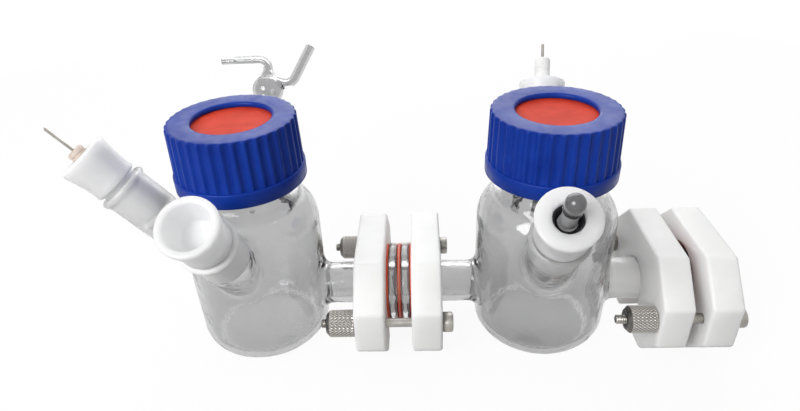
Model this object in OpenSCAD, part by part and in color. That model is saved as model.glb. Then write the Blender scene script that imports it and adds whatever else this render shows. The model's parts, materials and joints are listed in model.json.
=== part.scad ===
// Two-compartment photoelectrochemical cell: two glass bottles joined by a clamped
// membrane bridge, with a clamped light window, screw caps, stoppers and electrodes.
// Lengths in millimetres. Origin under the window bottle's axis, +X along the bridge
// towards the window, +Z up.

/* [Bottles] */
// outside diameter of both glass bodies
body_d = 60; // [50:1:80]
// glass thickness of body and base
body_wall = 2.2; // [1.6:0.1:3]
// rounding between wall and base
base_round = 12; // [6:0.5:16]
// height at which the shoulder starts to curve in
shoulder_z = 60.5; // [54:0.5:75]
// radius of the shoulder's upper curve
shoulder_r = 16; // [12:0.5:22]
// radius of the curve from shoulder to neck
neck_fillet = 8; // [5:0.5:12]
// outside diameter of the screw neck
neck_d = 44.4; // [40:0.2:50]
// glass thickness of the neck
neck_wall = 4.7; // [3:0.1:6]
// length of the straight neck above the shoulder
neck_len = 26.8; // [24:0.2:40]

/* [Side ports] */
// rise of every port above the horizontal, degrees
port_rise = 52; // [45:1:58]
// height where the port axes meet the bottle axis
port_z = 19; // [14:0.5:24]
// length of a port outside the body, along its axis
port_out = 33.8; // [28:0.2:45]
// glass thickness of a port below its ground joint
port_wall = 2.6; // [2:0.1:4]
// mouth diameter of the ground joint
joint_d = 16.8; // [15:0.2:20]
// length of the ground joint
joint_len = 20; // [14:0.5:24]
// loss of diameter per millimetre of ground joint
joint_taper = 0.1; // [0.05:0.01:0.12]
// overhang of the rounded rim at a port's mouth
rim_out = 1.2; // [0.6:0.1:2]
// height of that rim
rim_t = 3.2; // [2:0.1:5]
// direction of the counter electrode's port, degrees from +X
counter_turn = 187; // [170:1:200]
// direction of the plain stopper's port
plain_turn = 270; // [260:1:280]
// direction of the gas adapter's port
gas_turn = 90; // [80:1:100]
// direction of the sample holder's port
holder_turn = 84; // [80:1:100]
// direction of the reference electrode's port
reference_turn = 263; // [255:1:280]

/* [Bridge and window arms] */
// outside diameter of the horizontal arms
arm_d = 19.2; // [16:0.2:24]
// glass thickness of an arm
arm_wall = 2.2; // [1.6:0.1:3]
// width of the flange round an arm's end
flange_out = 8.1; // [6:0.1:10]
// thickness of that flange
flange_t = 4.4; // [2.5:0.1:5]
// body wall to the face of a bridge flange
bridge_out = 34.4; // [32:0.1:55]
// body wall to the face of the window flange
window_out = 31.7; // [30:0.1:55]

/* [Clamps] */
// thickness of a clamp plate
plate_t = 13; // [8:0.5:18]
// width of a plate, front to back
plate_w = 71; // [66:1:90]
// height of a plate
plate_h = 51; // [44:1:66]
// cut-off at each corner of a plate
plate_cut = 15.5; // [8:0.5:17]
// distance of a screw from the plate's side
screw_edge = 7; // [6:0.2:9]
// thread diameter of a screw
screw_d = 4; // [3:0.5:6]
// diameter of a screw head
head_d = 8.6; // [7:0.2:11]
// height of a screw head
head_h = 4.6; // [3:0.2:7]
// width across flats of the hexagon socket in a head
socket_af = 3; // [2:0.5:5]
// diameter of a thumb nut
nut_d = 12; // [9:0.5:15]
// length of a thumb nut
nut_len = 12.4; // [8:0.2:16]
// chamfer at a thumb nut's outer end
nut_chamfer = 1.6; // [0.5:0.1:2.5]
// screw end standing out of a bridge nut
bridge_tip = 2.4; // [1:0.2:8]
// screw end standing out of a window nut
window_tip = 4; // [1:0.2:8]

/* [Seals and window] */
// thickness of the washer between a flange and its plate
washer_t = 0.7; // [0.8:0.1:3]
// thickness of a flat seal
seal_t = 0.5; // [0.5:0.1:2]
// thickness of the membrane
membrane_t = 0.2; // [0.1:0.1:0.5]
// step from the flange's edge in to the window's
window_in = 0.7; // [0:0.1:2]
// thickness of the window disc
window_t = 3; // [2:0.1:5]
// depth of the window's seat in the outer plate
seat_depth = 2.5; // [1:0.1:3.5]
// width of the outer plate's lip over the window
window_lip = 5; // [3:0.1:8]

/* [Caps] */
// thickness of a cap's plain collar
collar_wall = 4.6; // [3.6:0.1:6]
// height of that collar
collar_h = 6.6; // [4:0.2:9]
// thickness over the ribs, just above the collar
rib_low_wall = 4; // [3:0.1:5]
// thickness over the ribs at the top
rib_top_wall = 3.4; // [2.8:0.1:4.5]
// overall height of a cap
cap_h = 27.5; // [22:0.5:34]
// number of ribs
ribs = 36; // [24:1:48]
// radius of the hollow between two ribs
rib_hollow_r = 2.1; // [1.2:0.1:2.4]
// depth of those hollows
rib_depth = 1; // [0.4:0.1:1.2]
// width of a cap's top over the neck's rim
cap_lip = 6; // [3:0.1:8]
// thickness of a cap's top
cap_roof = 2.2; // [1.6:0.1:3]
// thickness of a septum
septum_t = 3.2; // [2:0.1:5]

/* [Stoppers] */
// overhang of a stopper's head over the joint's mouth
stopper_out = 1.2; // [0.8:0.1:3]
// flare of a stopper's head towards its outer end
stopper_flare = 1.4; // [0:0.1:3]
// length of a stopper's head
stopper_len = 17.4; // [12:0.2:22]
// free space between rim and head
stopper_lift = 1.5; // [0.5:0.1:3]
// length of plug inside the joint
plug_len = 18; // [10:0.5:19]
// wall of a hollow stopper
stopper_wall = 2.8; // [1.6:0.1:3.5]
// depth of the open cup in the plain stopper
cup_depth = 12; // [6:0.5:15]

/* [Electrodes] */
// diameter of the counter electrode's collar
ferrule_d = 7.4; // [5:0.2:10]
// collar standing out of its stopper
ferrule_out = 3.2; // [2:0.2:6]
// collar inside its stopper
ferrule_in = 8; // [4:0.5:12]
// diameter of the counter electrode's wire
wire_d = 1.2; // [0.8:0.1:2]
// diameter of that wire inside the cell
wire_in_d = 0.8; // [0.6:0.1:1.2]
// wire standing out as a contact pin
wire_out = 12.5; // [8:0.5:18]
// wire's inner end, from the bottle axis along the port
wire_end = 30; // [24:0.5:44]
// diameter of the reference electrode
reference_d = 6.8; // [5:0.2:7]
// reference electrode standing out of its stopper
reference_out = 16; // [10:0.5:24]
// its inner end, from the bottle axis along the port
reference_end = 34; // [28:0.5:44]
// thickness of the rubber gland round it
gland_wall = 1.9; // [1.2:0.1:3]
// height of that gland
gland_h = 5; // [3:0.2:8]
// diameter of the gilt contact rod beside it
contact_d = 2.4; // [1.6:0.1:3]
// space between that rod and the port's wall
contact_gap = 0.3; // [0.2:0.05:0.6]
// turn of that rod round its stopper
contact_turn = 65; // [0:5:180]
// contact rod's inner end, from the bottle axis along the port
contact_end = 38; // [30:0.5:50]
// diameter of the sample holder's head
holder_d = 7.4; // [6:0.2:9]
// holder's head standing out of its stopper
holder_out = 12; // [8:0.5:16]
// diameter of the holder's rod inside
holder_rod_d = 5; // [4:0.2:6.4]
// holder's rod ends here, from the bottle axis along the port
holder_end = 44; // [40:0.5:52]
// width of the sample clip
clip_w = 8; // [6:0.5:9]
// space round the clip when it is drawn out through the port
clip_room = 0.45; // [0.3:0.05:1]
// thickness of the sample clip
clip_t = 5; // [4:0.5:6]
// gap between the clip's jaws
clip_slit = 1.2; // [0.6:0.1:2.4]
// diameter of the holder's contact pin
holder_pin_d = 1.4; // [1:0.1:2]
// diameter of that pin's foot inside the head
holder_foot_d = 1; // [0.6:0.1:1.2]
// holder's contact pin standing out
holder_pin_out = 7; // [4:0.5:12]

/* [Gas adapter] */
// diameter of the bulb
bulb_d = 15.2; // [12:0.2:18]
// glass thickness of the adapter
adapter_wall = 1.3; // [1:0.1:2]
// bulb's centre above the port's mouth
bulb_rise = 19; // [16:0.5:24]
// outside diameter of a hose arm
hose_d = 4.8; // [4:0.1:7]
// bore of a hose arm
hose_bore = 2.4; // [1.4:0.1:3]
// outside diameter of the thin hose end
tip_d = 3.6; // [2.8:0.1:5]
// length of the thin hose end
tip_len = 8; // [5:0.5:12]
// bend radius of a hose arm
hose_bend = 5; // [4:0.5:8]
// reach of the straight arm, from the port axis
side_reach = 24; // [18:0.5:32]
// height of the straight arm above the bulb's centre
side_rise = 15.5; // [13:0.5:20]
// length of the rising arm after its bend
up_len = 18; // [10:0.5:26]
// lean of the rising arm away from the port axis
up_lean = 26; // [0:1:40]
// height of the rising arm's root above the bulb's middle
up_off = 3; // [1:0.2:4]
// diameter of the level arm's root on the bulb
side_root_d = 9.6; // [7:0.2:10]
// diameter of the rising arm's root on the bulb
up_root_d = 7.2; // [6:0.2:7.6]

/* [Fits] */
// play of a screw in its hole, on the diameter
screw_play = 0.6; // [0.2:0.1:1]
// play of a nut on its screw, on the radius
nut_play = 0.08; // [0.04:0.01:0.1]
// space between an arm and its slot, on the radius
slot_play = 0.3; // [0.1:0.1:1]
// space between neck and cap, on the radius
cap_play = 0.5; // [0.3:0.1:1]
// space between a plug and its joint, on the radius
plug_play = 0.1; // [0.05:0.05:0.3]
// space under the parts that lift off
seat_play = 0.05; // [0.02:0.01:0.1]
// play of a sliding electrode, on the radius
rod_play = 0.08; // [0.04:0.01:0.1]
// play of the window in its seat, on the radius
window_play = 0.3; // [0.1:0.1:0.6]

/* [Hidden] */
$fn = 96;
e = 0.01;
neck_bore_d = neck_d - 2 * neck_wall;
shoulder_turn = acos(1 - (body_d - neck_d) / 2 / (shoulder_r + neck_fillet));
neck_top = shoulder_z + (shoulder_r + neck_fillet) * sin(shoulder_turn) + neck_len;
port_len = body_d / 2 / cos(port_rise) + port_out;
port_bore_d = joint_d - joint_taper * joint_len;
port_d = port_bore_d + 2 * port_wall;
rim_d = port_d + 2 * rim_out;
axis_z = plate_h / 2;
flange_d = arm_d + 2 * flange_out;
bridge_arm = body_d / 2 + bridge_out;
window_arm = body_d / 2 + window_out;
window_d = flange_d - 2 * window_in;
aperture_d = window_d - 2 * window_lip;
screw_pitch = plate_w - 2 * screw_edge;
spacing = 2 * bridge_arm + 2 * seal_t + membrane_t;
bridge_x = -spacing / 2;
bridge_gap = 2 * (washer_t + flange_t + seal_t) + membrane_t;
bridge_l = bridge_x - bridge_gap / 2;
bridge_r = bridge_x + bridge_gap / 2;
window_l = window_arm - flange_t - washer_t;
window_r = window_arm + 2 * seal_t + window_t - seat_depth;
bridge_stack = bridge_gap + 2 * plate_t;
window_stack = window_r - window_l + 2 * plate_t;
cap_bore_r = neck_d / 2 + cap_play;
septum_z = neck_top + seat_play;
roof_z = septum_z + septum_t + seat_play;
cap_top = roof_z + cap_roof;
cap_low = cap_top - cap_h;
cap_hole_d = neck_d - 2 * cap_lip;
collar_r = cap_bore_r + collar_wall;
rib_low_r = cap_bore_r + rib_low_wall;
rib_top_r = cap_bore_r + rib_top_wall;
mouth_r = joint_d / 2 - plug_play;
head_low = port_len + stopper_lift;
head_top = head_low + stopper_len;
plug_low = port_len - plug_len;
plug_low_r = mouth_r - joint_taper / 2 * plug_len;
stopper_low_d = joint_d + 2 * stopper_out;
stopper_d = stopper_low_d + 2 * stopper_flare;
bulb_z = port_len + bulb_rise;
root_in = bulb_d * 0.33;
up_root_in = bulb_d * 0.19;
gland_d = reference_d + 2 * gland_wall;
contact_off = port_bore_d / 2 - contact_gap - contact_d / 2;
clip_ferrule_d = holder_rod_d + 1;
clip_side = sqrt(pow(port_bore_d / 2 - clip_room, 2) - pow(clip_t / 2, 2));

glass = [0.78, 0.83, 0.85, 0.45];
blue = [0.07, 0.22, 0.62];
red = [0.85, 0.26, 0.2];
white = [0.95, 0.95, 0.94];
steel = [0.72, 0.72, 0.7];

// half outline of a bottle, w inside the outer surface, nr its neck radius; its pieces
// lap by e
module bottle_outline(w, nr) {
    r = body_d / 2 - w;
    c = base_round - w;
    r1 = shoulder_r - w;
    r2 = neck_fillet + w;
    turn = acos(1 - (r - nr) / (r1 + r2));
    jz = shoulder_z + r1 * sin(turn);
    jr = r - r1 * (1 - cos(turn));
    top_z = shoulder_z + (r1 + r2) * sin(turn);
    translate([0, w]) square([r - c, c + e]);
    intersection() {
        translate([r - c, w + c]) circle(c);
        translate([r - c - e, w]) square([c + e, c + e]);
    }
    translate([0, w + c]) square([r, shoulder_z - w - c]);
    translate([0, shoulder_z - e]) square([r - r1 + e, jz - shoulder_z + e]);
    intersection() {
        translate([r - r1, shoulder_z]) circle(r1);
        translate([r - r1, shoulder_z - e]) square([r1, jz - shoulder_z + e]);
    }
    difference() {
        translate([0, jz - e]) square([jr, top_z - jz + e]);
        translate([nr + r2, top_z]) circle(r2);
    }
    translate([0, top_z - e]) square([nr, neck_top - top_z + e + (w > 0 ? 1 : 0)]);
}

// places its children on a port: +Z out along the port, origin on the bottle axis
module on_port(turn) {
    translate([0, 0, port_z]) rotate([0, 90 - port_rise, turn]) children();
}

module port_tube(turn) {
    on_port(turn) {
        cylinder(d = port_d, h = port_len - rim_t / 2);
        translate([0, 0, port_len - rim_t / 2]) rotate_extrude() rim_outline();
    }
}

// rounded bead round a port's mouth
module rim_outline() {
    b = rim_t / 2;
    translate([0, -b]) square([rim_d / 2 - b, 2 * b]);
    translate([rim_d / 2 - b, 0]) circle(b);
}

module port_bore(turn) {
    start = body_d / 2 - body_wall;
    on_port(turn) {
        translate([0, 0, start]) cylinder(d = port_bore_d, h = port_len - start);
        translate([0, 0, port_len - joint_len])
            cylinder(d1 = port_bore_d, d2 = joint_d, h = joint_len);
        translate([0, 0, port_len - e]) cylinder(d = joint_d, h = 1);
    }
}

// horizontal arm with its flange, along +X
module arm(len) {
    translate([0, 0, axis_z]) rotate([0, 90, 0]) {
        cylinder(d = arm_d, h = len);
        translate([0, 0, len - flange_t]) cylinder(d = flange_d, h = flange_t);
    }
}

module arm_bore(len) {
    start = body_d / 4;
    translate([start, 0, axis_z]) rotate([0, 90, 0])
        cylinder(d = arm_d - 2 * arm_wall, h = len - start + 1);
}

module bottle_solid() {
    rotate_extrude() bottle_outline(0, neck_d / 2);
}

module bottle_hollow() {
    rotate_extrude() bottle_outline(body_wall, neck_bore_d / 2);
}

module left_bottle() {
    color(glass) translate([-spacing, 0, 0]) difference() {
        union() {
            bottle_solid();
            port_tube(counter_turn);
            port_tube(plain_turn);
            port_tube(gas_turn);
            arm(bridge_arm);
        }
        bottle_hollow();
        port_bore(counter_turn);
        port_bore(plain_turn);
        port_bore(gas_turn);
        arm_bore(bridge_arm);
    }
}

module right_bottle() {
    color(glass) difference() {
        union() {
            bottle_solid();
            port_tube(holder_turn);
            port_tube(reference_turn);
            rotate([0, 0, 180]) arm(bridge_arm);
            arm(window_arm);
        }
        bottle_hollow();
        port_bore(holder_turn);
        port_bore(reference_turn);
        rotate([0, 0, 180]) arm_bore(bridge_arm);
        arm_bore(window_arm);
    }
}

module septum() {
    translate([0, 0, septum_z]) cylinder(r = cap_bore_r - cap_play, h = septum_t);
}

module left_septum() {
    color(red) translate([-spacing, 0, 0]) septum();
}

module right_septum() {
    color(red) septum();
}

// half section of a cap before its ribs are cut
module cap_section() {
    edge = 1;
    difference() {
        polygon([
            [0, cap_low],
            [collar_r, cap_low],
            [collar_r, cap_low + collar_h - edge],
            [rib_low_r, cap_low + collar_h],
            [rib_top_r, cap_top - edge],
            [rib_top_r - edge, cap_top],
            [0, cap_top]
        ]);
        translate([0, cap_low - 1]) square([cap_bore_r, roof_z - cap_low + 1]);
        translate([0, roof_z - 1]) square([cap_hole_d / 2, cap_roof + 2]);
    }
}

// one cutter stands in each hollow between two ribs and follows the cap's taper
module cap() {
    lean = atan((rib_low_r - rib_top_r) / (cap_h - collar_h));
    out = rib_hollow_r - rib_depth;
    difference() {
        rotate_extrude() cap_section();
        for (i = [0:ribs - 1])
            rotate([0, 0, i * 360 / ribs])
                translate([rib_low_r + out, 0, cap_low + collar_h])
                    rotate([0, -lean, 0]) cylinder(r = rib_hollow_r, h = cap_h, $fn = 32);
    }
}

module left_cap() {
    color(blue) translate([-spacing, 0, 0]) cap();
}

module right_cap() {
    color(blue) cap();
}

// half section of a stopper: tapered plug, waist and flared head
module stopper_section() {
    edge = 0.8;
    polygon([
        [0, plug_low],
        [plug_low_r - edge, plug_low],
        [plug_low_r, plug_low + edge],
        [mouth_r, port_len],
        [mouth_r, head_low],
        [stopper_low_d / 2 - edge, head_low],
        [stopper_low_d / 2, head_low + edge],
        [stopper_d / 2, head_top - edge],
        [stopper_d / 2 - edge, head_top],
        [0, head_top]
    ]);
}

module plain_stopper() {
    floor_z = head_top - cup_depth;
    cup_low_r = (stopper_low_d + (stopper_d - stopper_low_d) * (1 - cup_depth / stopper_len)) / 2;
    color(white) translate([-spacing, 0, 0]) on_port(plain_turn) difference() {
        rotate_extrude() stopper_section();
        translate([0, 0, floor_z])
            cylinder(
                r1 = cup_low_r - stopper_wall - 0.6,
                r2 = stopper_d / 2 - stopper_wall,
                h = cup_depth + e
            );
        translate([0, 0, plug_low - e])
            cylinder(r = plug_low_r - stopper_wall / 2, h = floor_z - plug_low - stopper_wall);
    }
}

module counter_stopper() {
    color(white) translate([-spacing, 0, 0]) on_port(counter_turn) difference() {
        rotate_extrude() stopper_section();
        translate([0, 0, head_top - ferrule_in]) cylinder(d = ferrule_d, h = ferrule_in + e);
        translate([0, 0, plug_low - 1]) cylinder(r = wire_d / 2 + rod_play, h = plug_len + stopper_len);
        translate([0, 0, plug_low - e])
            cylinder(r = plug_low_r - stopper_wall / 2, h = plug_len - stopper_wall);
    }
}

module counter_ferrule() {
    color([0.86, 0.8, 0.77]) translate([-spacing, 0, 0]) on_port(counter_turn)
        translate([0, 0, head_top - ferrule_in]) difference() {
            union() {
                cylinder(d = ferrule_d, h = ferrule_in + ferrule_out - 1);
                translate([0, 0, ferrule_in + ferrule_out - 1])
                    cylinder(d1 = ferrule_d, d2 = ferrule_d - 2, h = 1);
            }
            translate([0, 0, -1]) cylinder(r = wire_d / 2 + rod_play, h = ferrule_in + ferrule_out + 2);
        }
}

module counter_wire() {
    foot = head_top + ferrule_out;
    color([0.6, 0.58, 0.54]) translate([-spacing, 0, 0]) on_port(counter_turn) {
        translate([0, 0, wire_end]) cylinder(d = wire_in_d, h = foot - wire_end + e, $fn = 32);
        translate([0, 0, foot]) cylinder(d = wire_d, h = wire_out, $fn = 32);
        translate([0, 0, foot + wire_out]) sphere(d = wire_d, $fn = 32);
    }
}

// bent rod along +Z that turns by an angle towards -X, with a faint weld ring at each
// end of its bend
module bent_rod(d, before, angle, after) {
    weld = 0.06;
    cylinder(d = d, h = before);
    translate([0, 0, before - weld * 5]) cylinder(d = d + weld, h = weld * 10);
    translate([-hose_bend, 0, before]) rotate([90, 0, 0]) {
        rotate_extrude(angle = angle) translate([hose_bend, 0]) circle(d = d);
        rotate([0, 0, angle]) translate([hose_bend, 0, 0]) rotate([-90, 0, 0]) {
            translate([0, 0, -weld * 5]) cylinder(d = d + weld, h = weld * 10);
            cylinder(d = d, h = after);
        }
    }
}

// trumpet-shaped roots that the arms rise from on the bulb
module arm_roots(less, d) {
    rise = side_rise - hose_bend - 0.5;
    reach = bulb_d / 2 + 1;
    translate([0, 0, bulb_z + root_in]) cylinder(d1 = side_root_d - less, d2 = d, h = rise - root_in);
    translate([0, 0, bulb_z + up_off]) rotate([0, 90, 0]) translate([0, 0, up_root_in])
        cylinder(d1 = up_root_d - less, d2 = d, h = reach - up_root_in);
}

// both hose arms: one up and sideways, one sideways and up
module hose_arms(d, more) {
    translate([0, 0, bulb_z])
        bent_rod(d, side_rise - hose_bend, 90, side_reach - tip_len - hose_bend + more);
    translate([0, 0, bulb_z + up_off]) rotate([0, 90, 0])
        bent_rod(d, bulb_d / 2 + 1.5, 90 - up_lean, up_len + more);
}

module gas_adapter() {
    wide = plug_low_r - adapter_wall;
    neck_r = bulb_d / 2 - 1.4;
    color(glass) translate([-spacing, 0, 0]) on_port(gas_turn) rotate([0, 0, -90]) difference() {
        union() {
            rotate_extrude() polygon([
                [0, plug_low],
                [plug_low_r, plug_low],
                [mouth_r, port_len],
                [mouth_r, head_low + 2],
                [neck_r, head_low + 4],
                [neck_r, bulb_z],
                [0, bulb_z]
            ]);
            translate([0, 0, bulb_z]) sphere(d = bulb_d);
            hose_arms(hose_d, 0);
            arm_roots(0, hose_d + 0.1);
            translate([0, 0, bulb_z + side_rise]) rotate([0, -90, 0]) {
                translate([0, 0, side_reach - tip_len]) cylinder(d1 = hose_d, d2 = tip_d, h = 1.2);
                translate([0, 0, side_reach - tip_len]) cylinder(d = tip_d, h = tip_len);
            }
        }
        translate([0, 0, plug_low - 1]) cylinder(r = wide, h = plug_len + 1);
        translate([0, 0, port_len - e]) cylinder(r1 = wide, r2 = neck_r - adapter_wall, h = 6);
        translate([0, 0, port_len + 5]) cylinder(r = neck_r - adapter_wall, h = bulb_rise - 5);
        translate([0, 0, bulb_z]) sphere(d = bulb_d - 2 * adapter_wall);
        hose_arms(hose_bore, tip_len + 1);
        arm_roots(2 * adapter_wall, hose_bore + 0.1);
    }
}

module reference_stopper() {
    groove_r = contact_d / 2 + seat_play;
    color(white) on_port(reference_turn) difference() {
        rotate_extrude() stopper_section();
        translate([0, 0, head_top - gland_h - 1.5]) cylinder(d = gland_d, h = gland_h + 2);
        translate([0, 0, plug_low - 1])
            cylinder(r = reference_d / 2 + rod_play, h = plug_len + stopper_len);
        rotate([0, 0, contact_turn]) translate([contact_off, 0, plug_low - e]) {
            cylinder(r = groove_r, h = plug_len + e);
            translate([0, -groove_r, 0]) cube([mouth_r, 2 * groove_r, plug_len + e]);
        }
    }
}

module reference_gland() {
    low = head_top - gland_h - 1.5;
    color([0.1, 0.09, 0.11]) on_port(reference_turn) difference() {
        translate([0, 0, low]) cylinder(d = gland_d, h = gland_h);
        translate([0, 0, low - 1]) cylinder(r = reference_d / 2 + rod_play, h = gland_h + 2);
        translate([0, 0, low + gland_h * 0.4])
            cylinder(r1 = reference_d / 2 + rod_play, r2 = gland_d / 2 - 0.5, h = gland_h * 0.6 + e);
    }
}

module reference_rod() {
    tip = head_top + reference_out - reference_d / 2;
    color([0.5, 0.5, 0.51]) on_port(reference_turn) {
        translate([0, 0, reference_end]) cylinder(d1 = reference_d - 1.6, d2 = reference_d, h = 3);
        translate([0, 0, reference_end + 3]) cylinder(d = reference_d, h = tip - reference_end - 3);
        translate([0, 0, tip]) sphere(d = reference_d);
    }
}

// lies in a groove down the stopper's plug, so that it shows through the glass
module contact_rod() {
    top = port_len - e;
    color([0.85, 0.66, 0.32]) on_port(reference_turn) rotate([0, 0, contact_turn])
        translate([contact_off, 0, 0]) {
            translate([0, 0, contact_end]) cylinder(d = contact_d, h = top - contact_end, $fn = 32);
            translate([0, 0, contact_end]) sphere(d = contact_d, $fn = 32);
        }
}

module holder_stopper() {
    color(white) on_port(holder_turn) difference() {
        rotate_extrude() stopper_section();
        translate([0, 0, plug_low - 1])
            cylinder(r = holder_rod_d / 2 + rod_play, h = plug_len + stopper_lift + stopper_len + 2);
    }
}

module holder_rod() {
    color([0.94, 0.94, 0.93]) on_port(holder_turn) difference() {
        union() {
            translate([0, 0, holder_end])
                cylinder(d = holder_rod_d, h = head_top + seat_play - holder_end + e);
            translate([0, 0, head_top + seat_play]) cylinder(d = holder_d, h = holder_out - seat_play - 1);
            translate([0, 0, head_top + holder_out - 1]) cylinder(d1 = holder_d, d2 = holder_d - 2, h = 1);
        }
        translate([0, 0, head_top + holder_out / 2]) cylinder(d = holder_foot_d, h = holder_out);
    }
}

module holder_pin() {
    seat = head_top + holder_out;
    color(steel) on_port(holder_turn) {
        translate([0, 0, seat - holder_out / 2])
            cylinder(d = holder_foot_d, h = holder_out / 2 + e, $fn = 32);
        translate([0, 0, seat]) cylinder(d = holder_pin_d, h = holder_pin_out, $fn = 32);
        translate([0, 0, seat + holder_pin_out]) sphere(d = holder_pin_d, $fn = 32);
    }
}

// spring clip under the holder's rod: ferrule, two jaws to one side and a tightening
// screw, all slim enough to be drawn out through the port
module sample_clip() {
    ferrule_h = 2;
    jaw_h = 8;
    tongue_h = 9;
    tongue_w = 3.4;
    foot_h = 2;
    low = -ferrule_h - jaw_h - tongue_h - foot_h;
    color([0.24, 0.23, 0.24]) on_port(holder_turn) rotate([0, 0, 90])
        translate([0, 0, holder_end]) difference() {
            union() {
                translate([0, 0, -ferrule_h]) cylinder(d = clip_ferrule_d, h = ferrule_h);
                translate([-clip_side, -clip_t / 2, -ferrule_h - jaw_h]) cube([clip_w, clip_t, jaw_h]);
                translate([1 - clip_side, -clip_t / 2 + 1, low])
                    cube([tongue_w, clip_t - 2, tongue_h + foot_h]);
                translate([-clip_side, -clip_t / 2 + 1, low]) cube([tongue_w + 3, clip_t - 2, foot_h]);
                translate([clip_w / 2 - clip_side, clip_t / 2 + 2, -ferrule_h - jaw_h / 2])
                    rotate([90, 0, 0]) cylinder(d = 4, h = 2 + e);
            }
            translate([-2 * clip_w, -clip_slit / 2, low - 1])
                cube([4 * clip_w, clip_slit, jaw_h / 2 + tongue_h + foot_h]);
        }
}

// eight-sided plate standing across X, its near face at x = 0
module plate_blank() {
    module face(w, h, c) {
        polygon([
            [-w / 2 + c, -h / 2],
            [w / 2 - c, -h / 2],
            [w / 2, -h / 2 + c],
            [w / 2, h / 2 - c],
            [w / 2 - c, h / 2],
            [-w / 2 + c, h / 2],
            [-w / 2, h / 2 - c],
            [-w / 2, -h / 2 + c]
        ]);
    }
    translate([0, 0, axis_z]) rotate([90, 0, 90]) difference() {
        linear_extrude(plate_t) face(plate_w, plate_h, plate_cut);
        for (s = [-1, 1])
            translate([s * screw_pitch / 2, 0, -1]) cylinder(d = screw_d + screw_play, h = plate_t + 2);
    }
}

// plate that drops over an arm: its slot is open at the bottom
module slotted_plate() {
    slot_r = arm_d / 2 + slot_play;
    difference() {
        plate_blank();
        translate([-1, 0, axis_z]) rotate([0, 90, 0]) cylinder(r = slot_r, h = plate_t + 2);
        translate([-1, -slot_r, -1]) cube([plate_t + 2, 2 * slot_r, axis_z + 1]);
    }
}

module bridge_plate_left() {
    color(white) translate([bridge_l - plate_t, 0, 0]) slotted_plate();
}

module bridge_plate_right() {
    color(white) translate([bridge_r, 0, 0]) slotted_plate();
}

module window_plate_inner() {
    color(white) translate([window_l - plate_t, 0, 0]) slotted_plate();
}

module window_plate_outer() {
    color(white) translate([window_r, 0, 0]) difference() {
        plate_blank();
        translate([-e, 0, axis_z]) rotate([0, 90, 0])
            cylinder(r = window_d / 2 + window_play, h = seat_depth + e);
        translate([-1, 0, axis_z]) rotate([0, 90, 0]) cylinder(d = aperture_d, h = plate_t + 2);
        translate([plate_t - 2, 0, axis_z]) rotate([0, 90, 0])
            cylinder(d1 = aperture_d, d2 = aperture_d + 4 + 4 * e, h = 2 + e);
    }
}

// flat ring across X
module ring(x, t, outer, inner) {
    translate([x, 0, axis_z]) rotate([0, 90, 0]) difference() {
        cylinder(d = outer, h = t);
        translate([0, 0, -1]) cylinder(d = inner, h = t + 2);
    }
}

module bridge_washer_left() {
    color(red) ring(bridge_l, washer_t, flange_d, arm_d + 2 * slot_play);
}

module bridge_washer_right() {
    color(red) ring(bridge_r - washer_t, washer_t, flange_d, arm_d + 2 * slot_play);
}

module bridge_seal_left() {
    color(red) ring(bridge_x - membrane_t / 2 - seal_t, seal_t, flange_d, arm_d);
}

module bridge_seal_right() {
    color(red) ring(bridge_x + membrane_t / 2, seal_t, flange_d, arm_d);
}

module membrane() {
    color([0.9, 0.86, 0.78]) translate([bridge_x - membrane_t / 2, 0, axis_z]) rotate([0, 90, 0])
        cylinder(d = flange_d, h = membrane_t);
}

module window_washer() {
    color(red) ring(window_l, washer_t, flange_d, arm_d + 2 * slot_play);
}

module window_seal_inner() {
    color(red) ring(window_arm, seal_t, window_d, arm_d);
}

module window_disc() {
    color(glass) translate([window_arm + seal_t, 0, axis_z]) rotate([0, 90, 0])
        cylinder(d = window_d, h = window_t);
}

module window_seal_outer() {
    color(red) ring(window_arm + seal_t + window_t, seal_t, window_d, aperture_d);
}

// cap screw along +X: its head's seat at x = 0, shank towards -X
module cap_screw(len) {
    edge = 0.5;
    difference() {
        rotate([0, 90, 0]) rotate_extrude() polygon([
            [0, -len],
            [screw_d / 2 - edge, -len],
            [screw_d / 2, -len + edge],
            [screw_d / 2, 0],
            [head_d / 2, 0],
            [head_d / 2, head_h - edge],
            [head_d / 2 - edge, head_h],
            [0, head_h]
        ]);
        translate([head_h / 2, 0, 0]) rotate([0, 90, 0])
            cylinder(d = socket_af / cos(30), h = head_h, $fn = 6);
    }
}

module bridge_screws() {
    len = bridge_stack + nut_len + bridge_tip;
    color(steel) for (s = [-1, 1])
        translate([bridge_r + plate_t, s * screw_pitch / 2, axis_z]) cap_screw(len);
}

// the back screw of the window clamp is put in from the bottle's side
module window_screws() {
    len = window_stack + nut_len + window_tip;
    color(steel) {
        translate([window_r + plate_t, -screw_pitch / 2, axis_z]) cap_screw(len);
        translate([window_l - plate_t, screw_pitch / 2, axis_z]) rotate([0, 0, 180]) cap_screw(len);
    }
}

// thumb nut along -X: its seat at x = 0
module thumb_nut() {
    low = 0.6;
    rotate([0, -90, 0]) rotate_extrude() polygon([
        [screw_d / 2 + nut_play, 0],
        [nut_d / 2 - low, 0],
        [nut_d / 2, low],
        [nut_d / 2, nut_len - nut_chamfer],
        [nut_d / 2 - nut_chamfer, nut_len],
        [screw_d / 2 + nut_play, nut_len]
    ]);
}

module bridge_nut_front() {
    color(steel) translate([bridge_l - plate_t, -screw_pitch / 2, axis_z]) thumb_nut();
}

module bridge_nut_back() {
    color(steel) translate([bridge_l - plate_t, screw_pitch / 2, axis_z]) thumb_nut();
}

module window_nut_front() {
    color(steel) translate([window_l - plate_t, -screw_pitch / 2, axis_z]) thumb_nut();
}

module window_nut_back() {
    color(steel) translate([window_r + plate_t, screw_pitch / 2, axis_z]) rotate([0, 0, 180]) thumb_nut();
}

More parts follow.
